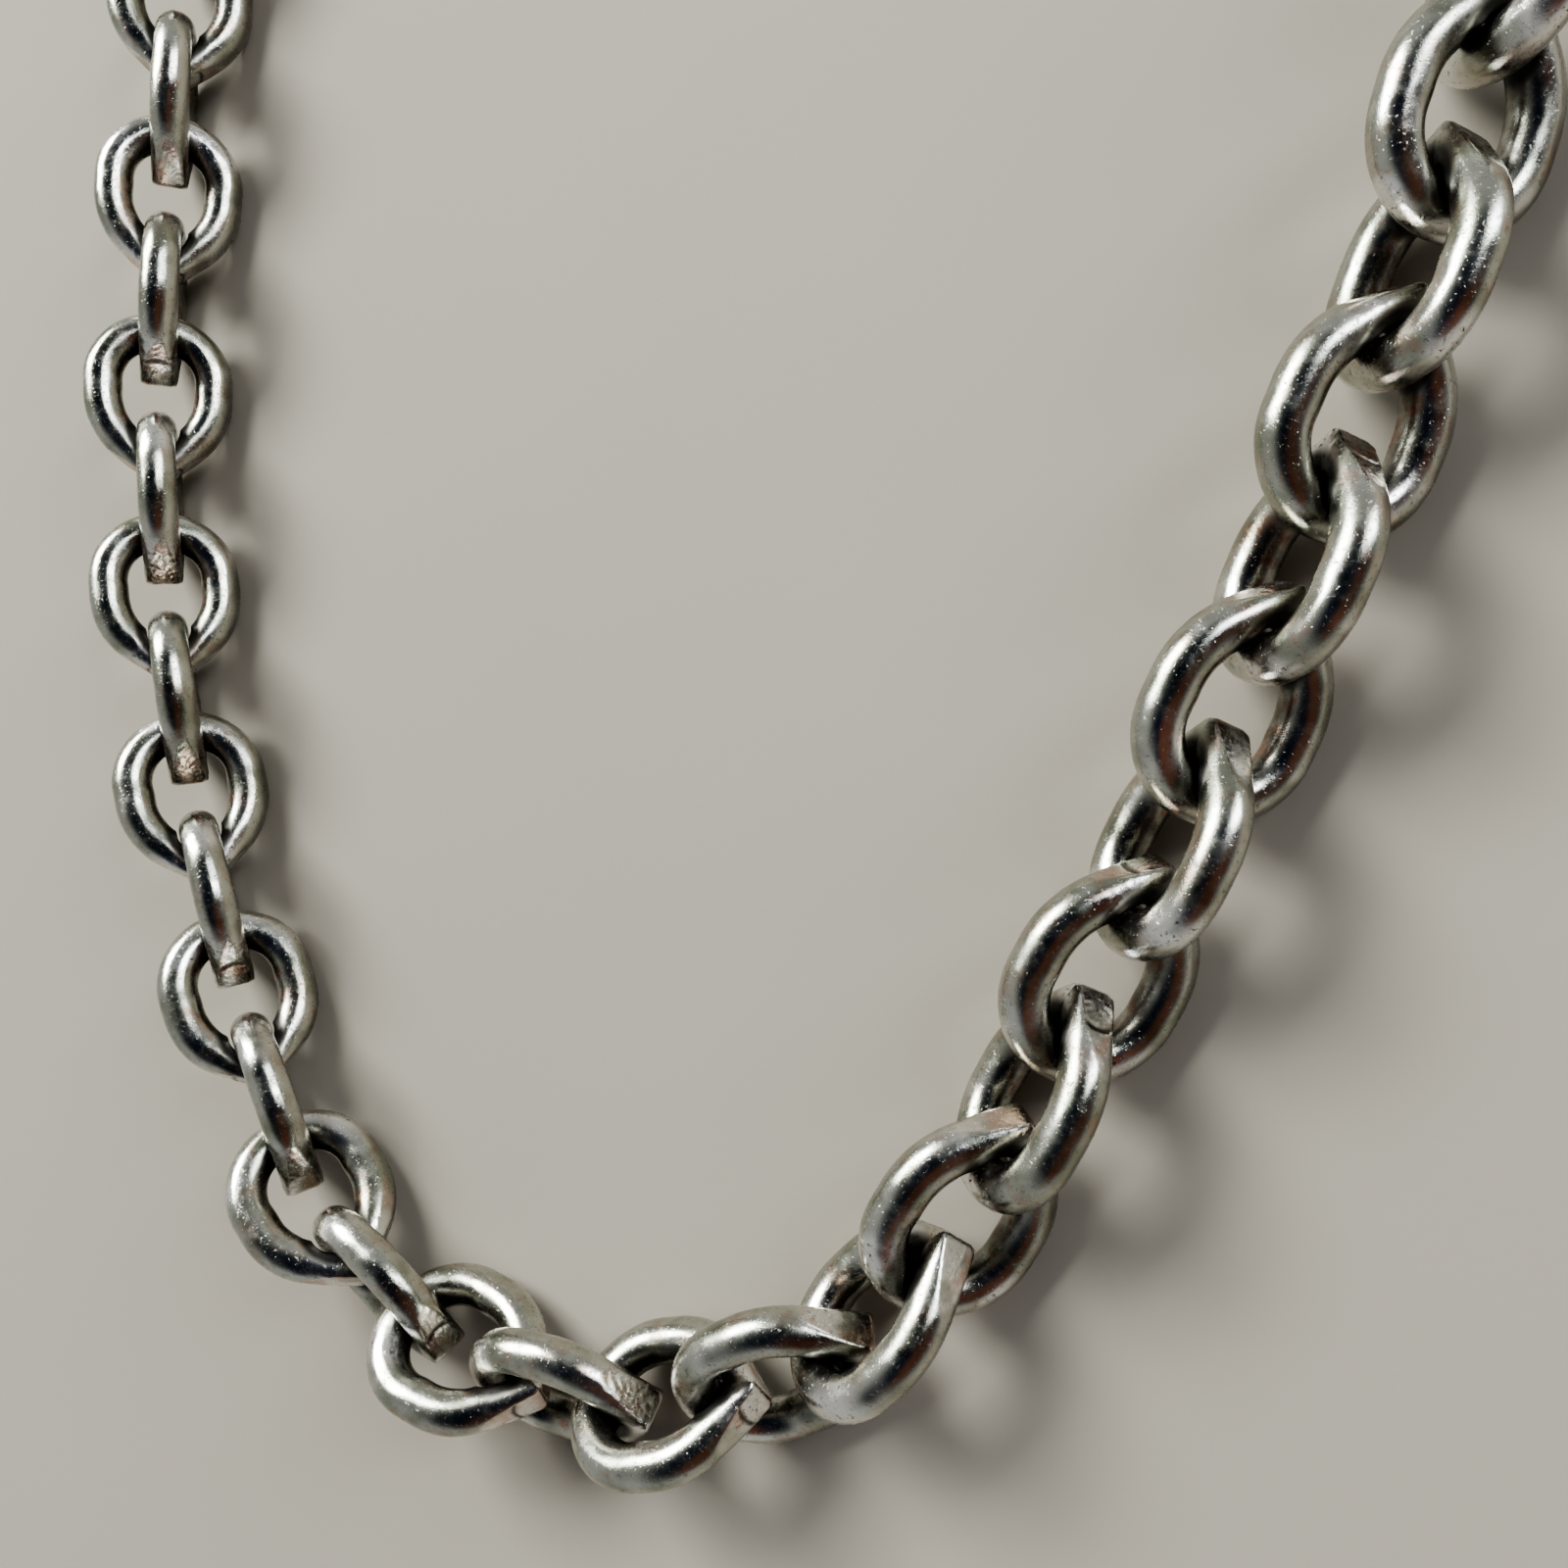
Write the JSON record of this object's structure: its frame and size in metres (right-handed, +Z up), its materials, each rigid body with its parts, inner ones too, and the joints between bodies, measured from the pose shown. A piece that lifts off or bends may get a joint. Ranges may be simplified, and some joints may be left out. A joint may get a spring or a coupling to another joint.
{
  "type": "chain necklace",
  "caption": "Chunky silver-plated cable chain necklace of egg-shaped wire links, laid out open with a lobster clasp and an end ring.",
  "frame": {"origin": "centre of the laid-out necklace's box, on the table it lies on", "axes": "+Z up from the table, +Y from the bottom link towards the two open ends, +X towards the strand that ends in the plain ring"},
  "size_m": [0.1174, 0.2322, 0.0102],
  "materials": {
    "silver_plate": "polished silver plate, tarnished and worn to copper in places",
    "clasp_metal": "cast and plated, satin with wear",
    "spring_steel": "drawn spring wire"
  },
  "bodies": {
    "link_bottom": {"link_bottom": "silver_plate"},
    "link_right_01": {"link_right_01": "silver_plate"},
    "link_right_02": {"link_right_02": "silver_plate"},
    "link_right_03": {"link_right_03": "silver_plate"},
    "link_right_04": {"link_right_04": "silver_plate"},
    "link_right_05": {"link_right_05": "silver_plate"},
    "link_right_06": {"link_right_06": "silver_plate"},
    "link_right_07": {"link_right_07": "silver_plate"},
    "link_right_08": {"link_right_08": "silver_plate"},
    "link_right_09": {"link_right_09": "silver_plate"},
    "link_right_10": {"link_right_10": "silver_plate"},
    "link_right_11": {"link_right_11": "silver_plate"},
    "link_right_12": {"link_right_12": "silver_plate"},
    "link_right_13": {"link_right_13": "silver_plate"},
    "link_right_14": {"link_right_14": "silver_plate"},
    "link_right_15": {"link_right_15": "silver_plate"},
    "link_right_16": {"link_right_16": "silver_plate"},
    "link_right_17": {"link_right_17": "silver_plate"},
    "link_right_18": {"link_right_18": "silver_plate"},
    "link_right_19": {"link_right_19": "silver_plate"},
    "link_right_20": {"link_right_20": "silver_plate"},
    "link_right_21": {"link_right_21": "silver_plate"},
    "link_right_22": {"link_right_22": "silver_plate"},
    "link_right_23": {"link_right_23": "silver_plate"},
    "link_right_24": {"link_right_24": "silver_plate"},
    "link_right_25": {"link_right_25": "silver_plate"},
    "link_right_26": {"link_right_26": "silver_plate"},
    "link_left_01": {"link_left_01": "silver_plate"},
    "link_left_02": {"link_left_02": "silver_plate"},
    "link_left_03": {"link_left_03": "silver_plate"},
    "link_left_04": {"link_left_04": "silver_plate"},
    "link_left_05": {"link_left_05": "silver_plate"},
    "link_left_06": {"link_left_06": "silver_plate"},
    "link_left_07": {"link_left_07": "silver_plate"},
    "link_left_08": {"link_left_08": "silver_plate"},
    "link_left_09": {"link_left_09": "silver_plate"},
    "link_left_10": {"link_left_10": "silver_plate"},
    "link_left_11": {"link_left_11": "silver_plate"},
    "link_left_12": {"link_left_12": "silver_plate"},
    "link_left_13": {"link_left_13": "silver_plate"},
    "link_left_14": {"link_left_14": "silver_plate"},
    "link_left_15": {"link_left_15": "silver_plate"},
    "link_left_16": {"link_left_16": "silver_plate"},
    "link_left_17": {"link_left_17": "silver_plate"},
    "link_left_18": {"link_left_18": "silver_plate"},
    "link_left_19": {"link_left_19": "silver_plate"},
    "link_left_20": {"link_left_20": "silver_plate"},
    "link_left_21": {"link_left_21": "silver_plate"},
    "link_left_22": {"link_left_22": "silver_plate"},
    "link_left_23": {"link_left_23": "silver_plate"},
    "link_left_24": {"link_left_24": "silver_plate"},
    "link_left_25": {"link_left_25": "silver_plate"},
    "link_left_26": {"link_left_26": "silver_plate"},
    "end_ring": {"end_ring": "silver_plate"},
    "clasp_ring": {"clasp_ring": "silver_plate"},
    "clasp": {"clasp_body": "clasp_metal", "clasp_pin": "clasp_metal", "clasp_spring": "spring_steel"},
    "clasp_lever": {"clasp_lever": "clasp_metal"}
  },
  "joints": [
    {"name": "hinge_right_01", "type": "hinge", "parent": "link_bottom", "child": "link_right_01", "pos_m": [-0.00323, -0.1116, 0.00451], "axis": [0, 0.7071, 0.7071], "range_deg": [-48.73, 27.27]},
    {"name": "hinge_right_02", "type": "hinge", "parent": "link_right_01", "child": "link_right_02", "pos_m": [0.00486, -0.10897, 0.00497], "axis": [0.1862, -0.6947, 0.6947], "range_deg": [-48.55, 27.45]},
    {"name": "hinge_right_03", "type": "hinge", "parent": "link_right_02", "child": "link_right_03", "pos_m": [0.01199, -0.10432, 0.00451], "axis": [0.3536, -0.6124, -0.7071], "range_deg": [-27.27, 48.73]},
    {"name": "hinge_right_04", "type": "hinge", "parent": "link_right_03", "child": "link_right_04", "pos_m": [0.01769, -0.098, 0.00497], "axis": [-0.5086, 0.5086, -0.6947], "range_deg": [-27.45, 48.55]},
    {"name": "hinge_right_05", "type": "hinge", "parent": "link_right_04", "child": "link_right_05", "pos_m": [0.02154, -0.09041, 0.00451], "axis": [-0.6124, 0.3536, 0.7071], "range_deg": [-39.24, 36.76]},
    {"name": "hinge_right_06", "type": "hinge", "parent": "link_right_05", "child": "link_right_06", "pos_m": [0.02549, -0.08295, 0.00456], "axis": [0.623, -0.3348, 0.7069], "range_deg": [-39.24, 36.76]},
    {"name": "hinge_right_07", "type": "hinge", "parent": "link_right_06", "child": "link_right_07", "pos_m": [0.0292, -0.07537, 0.00451], "axis": [0.6328, -0.3155, -0.7071], "range_deg": [-36.76, 39.24]},
    {"name": "hinge_right_08", "type": "hinge", "parent": "link_right_07", "child": "link_right_08", "pos_m": [0.03269, -0.06768, 0.00456], "axis": [-0.6423, 0.2961, -0.7069], "range_deg": [-36.76, 39.24]},
    {"name": "hinge_right_09", "type": "hinge", "parent": "link_right_08", "child": "link_right_09", "pos_m": [0.03594, -0.05989, 0.00451], "axis": [-0.6509, 0.2763, 0.7071], "range_deg": [-39.24, 36.76]},
    {"name": "hinge_right_10", "type": "hinge", "parent": "link_right_09", "child": "link_right_10", "pos_m": [0.03895, -0.052, 0.00456], "axis": [0.6592, -0.2563, 0.7069], "range_deg": [-39.24, 36.76]},
    {"name": "hinge_right_11", "type": "hinge", "parent": "link_right_10", "child": "link_right_11", "pos_m": [0.04172, -0.04403, 0.00451], "axis": [0.6665, -0.236, -0.7071], "range_deg": [-36.76, 39.24]},
    {"name": "hinge_right_12", "type": "hinge", "parent": "link_right_11", "child": "link_right_12", "pos_m": [0.04424, -0.03597, 0.00456], "axis": [-0.6736, 0.2156, -0.7069], "range_deg": [-36.76, 39.24]},
    {"name": "hinge_right_13", "type": "hinge", "parent": "link_right_12", "child": "link_right_13", "pos_m": [0.04651, -0.02784, 0.00451], "axis": [-0.6797, 0.1949, 0.7071], "range_deg": [-39.41, 36.59]},
    {"name": "hinge_right_14", "type": "hinge", "parent": "link_right_13", "child": "link_right_14", "pos_m": [0.0485, -0.01964, 0.00457], "axis": [0.6863, -0.1711, 0.7069], "range_deg": [-39.41, 36.59]},
    {"name": "hinge_right_15", "type": "hinge", "parent": "link_right_14", "child": "link_right_15", "pos_m": [0.05019, -0.01137, 0.00451], "axis": [0.6917, -0.147, -0.7071], "range_deg": [-36.59, 39.41]},
    {"name": "hinge_right_16", "type": "hinge", "parent": "link_right_15", "child": "link_right_16", "pos_m": [0.0516, -0.00305, 0.00457], "axis": [-0.6966, 0.1228, -0.7069], "range_deg": [-36.59, 39.41]},
    {"name": "hinge_right_17", "type": "hinge", "parent": "link_right_16", "child": "link_right_17", "pos_m": [0.05271, 0.00532, 0.00451], "axis": [-0.7002, 0.0984, 0.7071], "range_deg": [-39.41, 36.59]},
    {"name": "hinge_right_18", "type": "hinge", "parent": "link_right_17", "child": "link_right_18", "pos_m": [0.05353, 0.01372, 0.00457], "axis": [0.7034, -0.0739, 0.7069], "range_deg": [-39.41, 36.59]},
    {"name": "hinge_right_19", "type": "hinge", "parent": "link_right_18", "child": "link_right_19", "pos_m": [0.05406, 0.02215, 0.00451], "axis": [0.7054, -0.0493, -0.7071], "range_deg": [-36.59, 39.41]},
    {"name": "hinge_right_20", "type": "hinge", "parent": "link_right_19", "child": "link_right_20", "pos_m": [0.05429, 0.03058, 0.00457], "axis": [-0.7069, 0.0247, -0.7069], "range_deg": [-36.59, 39.41]},
    {"name": "hinge_right_21", "type": "hinge", "parent": "link_right_20", "child": "link_right_21", "pos_m": [0.05423, 0.03903, 0.00451], "axis": [-0.7071, 0, 0.7071], "range_deg": [-38, 38]},
    {"name": "hinge_right_22", "type": "hinge", "parent": "link_right_21", "child": "link_right_22", "pos_m": [0.05423, 0.04747, 0.00451], "axis": [0.7071, 0, 0.7071], "range_deg": [-38, 38]},
    {"name": "hinge_right_23", "type": "hinge", "parent": "link_right_22", "child": "link_right_23", "pos_m": [0.05423, 0.05591, 0.00451], "axis": [0.7071, 0, -0.7071], "range_deg": [-38, 38]},
    {"name": "hinge_right_24", "type": "hinge", "parent": "link_right_23", "child": "link_right_24", "pos_m": [0.05423, 0.06435, 0.00451], "axis": [-0.7071, 0, -0.7071], "range_deg": [-38, 38]},
    {"name": "hinge_right_25", "type": "hinge", "parent": "link_right_24", "child": "link_right_25", "pos_m": [0.05423, 0.07279, 0.00451], "axis": [-0.7071, 0, 0.7071], "range_deg": [-38, 38]},
    {"name": "hinge_right_26", "type": "hinge", "parent": "link_right_25", "child": "link_right_26", "pos_m": [0.05423, 0.08123, 0.00451], "axis": [0.7071, 0, 0.7071], "range_deg": [-38, 38]},
    {"name": "hinge_left_01", "type": "hinge", "parent": "link_bottom", "child": "link_left_01", "pos_m": [-0.01174, -0.11206, 0.00497], "axis": [-0.1862, -0.6947, 0.6947], "range_deg": [-27.45, 48.55]},
    {"name": "hinge_left_02", "type": "hinge", "parent": "link_left_01", "child": "link_left_02", "pos_m": [-0.02006, -0.11029, 0.00451], "axis": [0.3536, 0.6124, 0.7071], "range_deg": [-27.27, 48.73]},
    {"name": "hinge_left_03", "type": "hinge", "parent": "link_left_02", "child": "link_left_03", "pos_m": [-0.02765, -0.10644, 0.00497], "axis": [0.5086, 0.5086, -0.6947], "range_deg": [-48.55, 27.45]},
    {"name": "hinge_left_04", "type": "hinge", "parent": "link_left_03", "child": "link_left_04", "pos_m": [-0.03398, -0.10075, 0.00451], "axis": [-0.6124, -0.3536, -0.7071], "range_deg": [-48.73, 27.27]},
    {"name": "hinge_left_05", "type": "hinge", "parent": "link_left_04", "child": "link_left_05", "pos_m": [-0.0383, -0.09349, 0.00462], "axis": [-0.6349, -0.3131, 0.7063], "range_deg": [-35.35, 40.65]},
    {"name": "hinge_left_06", "type": "hinge", "parent": "link_left_05", "child": "link_left_06", "pos_m": [-0.04214, -0.08597, 0.00451], "axis": [0.6533, 0.2706, 0.7071], "range_deg": [-35.35, 40.65]},
    {"name": "hinge_left_07", "type": "hinge", "parent": "link_left_06", "child": "link_left_07", "pos_m": [-0.04547, -0.07821, 0.00462], "axis": [0.6703, 0.2275, -0.7063], "range_deg": [-40.65, 35.35]},
    {"name": "hinge_left_08", "type": "hinge", "parent": "link_left_07", "child": "link_left_08", "pos_m": [-0.0483, -0.07025, 0.00451], "axis": [-0.683, -0.183, -0.7071], "range_deg": [-40.65, 35.35]},
    {"name": "hinge_left_09", "type": "hinge", "parent": "link_left_08", "child": "link_left_09", "pos_m": [-0.05059, -0.06213, 0.00462], "axis": [-0.6943, -0.1381, 0.7063], "range_deg": [-35.35, 40.65]},
    {"name": "hinge_left_10", "type": "hinge", "parent": "link_left_09", "child": "link_left_10", "pos_m": [-0.05235, -0.05387, 0.00451], "axis": [0.7011, 0.0923, 0.7071], "range_deg": [-35.35, 40.65]},
    {"name": "hinge_left_11", "type": "hinge", "parent": "link_left_10", "child": "link_left_11", "pos_m": [-0.05357, -0.04551, 0.00462], "axis": [0.7063, 0.0463, -0.7063], "range_deg": [-40.65, 35.35]},
    {"name": "hinge_left_12", "type": "hinge", "parent": "link_left_11", "child": "link_left_12", "pos_m": [-0.05423, -0.03709, 0.00451], "axis": [-0.7071, 0, -0.7071], "range_deg": [-40.65, 35.35]},
    {"name": "hinge_left_13", "type": "hinge", "parent": "link_left_12", "child": "link_left_13", "pos_m": [-0.05423, -0.02865, 0.00451], "axis": [-0.7071, 0, 0.7071], "range_deg": [-38, 38]},
    {"name": "hinge_left_14", "type": "hinge", "parent": "link_left_13", "child": "link_left_14", "pos_m": [-0.05423, -0.02021, 0.00451], "axis": [0.7071, 0, 0.7071], "range_deg": [-38, 38]},
    {"name": "hinge_left_15", "type": "hinge", "parent": "link_left_14", "child": "link_left_15", "pos_m": [-0.05423, -0.01177, 0.00451], "axis": [0.7071, 0, -0.7071], "range_deg": [-38, 38]},
    {"name": "hinge_left_16", "type": "hinge", "parent": "link_left_15", "child": "link_left_16", "pos_m": [-0.05423, -0.00333, 0.00451], "axis": [-0.7071, 0, -0.7071], "range_deg": [-38, 38]},
    {"name": "hinge_left_17", "type": "hinge", "parent": "link_left_16", "child": "link_left_17", "pos_m": [-0.05423, 0.00511, 0.00451], "axis": [-0.7071, 0, 0.7071], "range_deg": [-38, 38]},
    {"name": "hinge_left_18", "type": "hinge", "parent": "link_left_17", "child": "link_left_18", "pos_m": [-0.05423, 0.01355, 0.00451], "axis": [0.7071, 0, 0.7071], "range_deg": [-38, 38]},
    {"name": "hinge_left_19", "type": "hinge", "parent": "link_left_18", "child": "link_left_19", "pos_m": [-0.05423, 0.02199, 0.00451], "axis": [0.7071, 0, -0.7071], "range_deg": [-38, 38]},
    {"name": "hinge_left_20", "type": "hinge", "parent": "link_left_19", "child": "link_left_20", "pos_m": [-0.05423, 0.03043, 0.00451], "axis": [-0.7071, 0, -0.7071], "range_deg": [-38, 38]},
    {"name": "hinge_left_21", "type": "hinge", "parent": "link_left_20", "child": "link_left_21", "pos_m": [-0.05423, 0.03887, 0.00451], "axis": [-0.7071, 0, 0.7071], "range_deg": [-38, 38]},
    {"name": "hinge_left_22", "type": "hinge", "parent": "link_left_21", "child": "link_left_22", "pos_m": [-0.05423, 0.04731, 0.00451], "axis": [0.7071, 0, 0.7071], "range_deg": [-38, 38]},
    {"name": "hinge_left_23", "type": "hinge", "parent": "link_left_22", "child": "link_left_23", "pos_m": [-0.05423, 0.05575, 0.00451], "axis": [0.7071, 0, -0.7071], "range_deg": [-38, 38]},
    {"name": "hinge_left_24", "type": "hinge", "parent": "link_left_23", "child": "link_left_24", "pos_m": [-0.05423, 0.06419, 0.00451], "axis": [-0.7071, 0, -0.7071], "range_deg": [-38, 38]},
    {"name": "hinge_left_25", "type": "hinge", "parent": "link_left_24", "child": "link_left_25", "pos_m": [-0.05423, 0.07263, 0.00451], "axis": [-0.7071, 0, 0.7071], "range_deg": [-38, 38]},
    {"name": "hinge_left_26", "type": "hinge", "parent": "link_left_25", "child": "link_left_26", "pos_m": [-0.05423, 0.08107, 0.00451], "axis": [0.7071, 0, 0.7071], "range_deg": [-38, 38]},
    {"name": "hinge_end_ring", "type": "hinge", "parent": "link_right_26", "child": "end_ring", "pos_m": [0.05423, 0.08967, 0.00451], "axis": [-0.7071, 0, 0.7071], "range_deg": [-60, 60]},
    {"name": "hinge_clasp_ring", "type": "hinge", "parent": "link_left_26", "child": "clasp_ring", "pos_m": [-0.05423, 0.09301, 0.00451], "axis": [0.7071, 0, 0.7071], "range_deg": [-60, 60]},
    {"name": "hinge_clasp", "type": "hinge", "parent": "clasp_ring", "child": "clasp", "pos_m": [-0.05423, 0.09761, 0.00451], "axis": [-0.7071, 0, 0.7071], "range_deg": [-60, 60]},
    {"name": "clasp_lever_hinge", "type": "hinge", "parent": "clasp", "child": "clasp_lever", "pos_m": [-0.05229, 0.10361, 0.00645], "axis": [-0.7071, 0, 0.7071], "range_deg": [0, 20], "stiffness_Nm_per_rad": 0.004, "springref_deg": -34.38}
  ]
}
